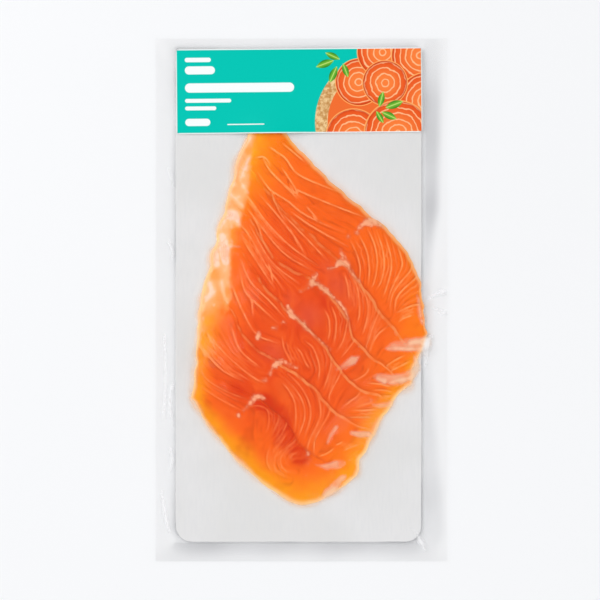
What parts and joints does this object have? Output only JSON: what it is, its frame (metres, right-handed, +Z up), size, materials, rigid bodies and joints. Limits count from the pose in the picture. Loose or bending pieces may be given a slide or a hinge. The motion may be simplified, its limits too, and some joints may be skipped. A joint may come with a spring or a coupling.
{
  "type": "pack of salted trout",
  "caption": "Clear vacuum pouch welded flat round a silver card, with shingled slices of salted trout drawn down under the film and a plain label across one end.",
  "frame": {"origin": "middle of the pack's underside, which lies on the surface", "axes": "+X across the pack, +Y along it towards the labelled end, +Z up out of the side that shows the fish"},
  "size_m": [0.146, 0.2616, 0.0128],
  "materials": {
    "film": "clear glossy film",
    "label_paper": "satin",
    "trout": "moist flesh",
    "silver_card": "satin"
  },
  "bodies": {
    "root": {"vacuum_pouch": "film", "label": "label_paper"}
  },
  "joints": []
}
